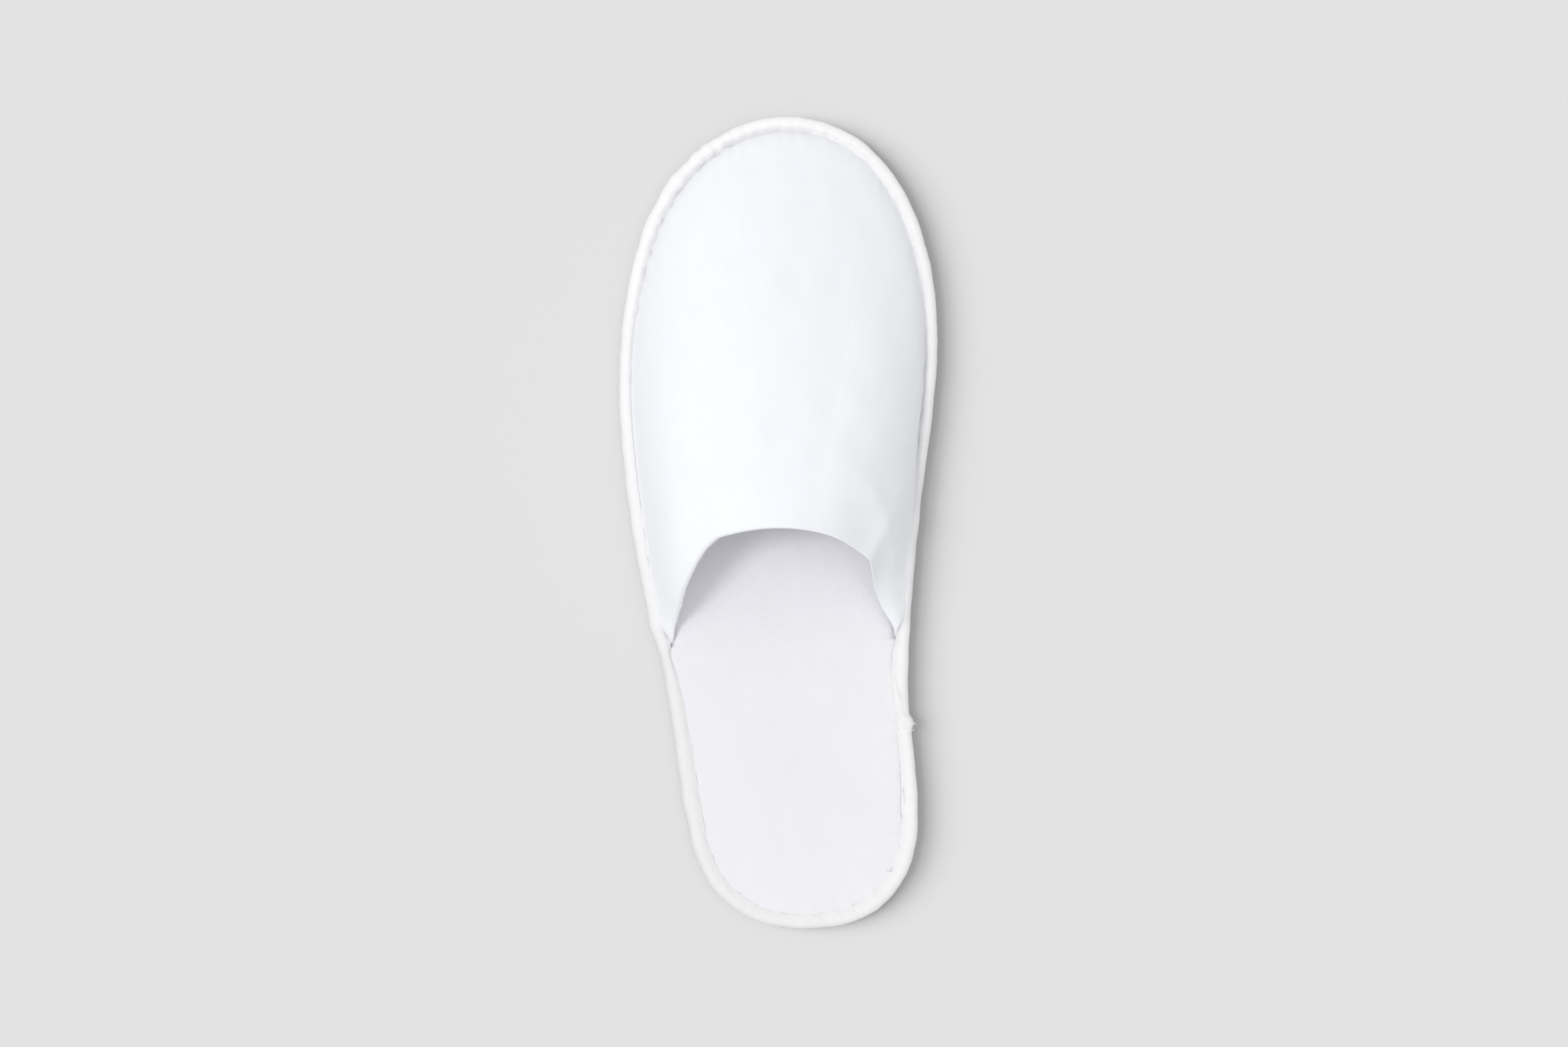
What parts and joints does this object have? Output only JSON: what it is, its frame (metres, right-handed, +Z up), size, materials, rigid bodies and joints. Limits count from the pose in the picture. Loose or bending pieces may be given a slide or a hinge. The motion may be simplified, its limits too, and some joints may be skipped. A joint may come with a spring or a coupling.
{
  "type": "hotel slipper",
  "caption": "Left closed-toe slipper: flat foam sole, padded insole, soft arched upper and folded binding tape round the whole edge.",
  "frame": {"origin": "on the floor, below the middle of the slipper's length and width", "axes": "+Z up, +Y from heel to toe, +X to the medial side, towards the other foot"},
  "size_m": [0.11, 0.28, 0.0502],
  "materials": {
    "sole_foam": "matte closed-cell foam",
    "footbed_cloth": "brushed cloth on foam",
    "upper_cloth": "brushed cloth on foam",
    "binding_tape": "soft woven tape"
  },
  "bodies": {
    "root": {"outsole": "sole_foam", "insole": "footbed_cloth", "upper": "upper_cloth", "binding": "binding_tape"}
  },
  "joints": []
}
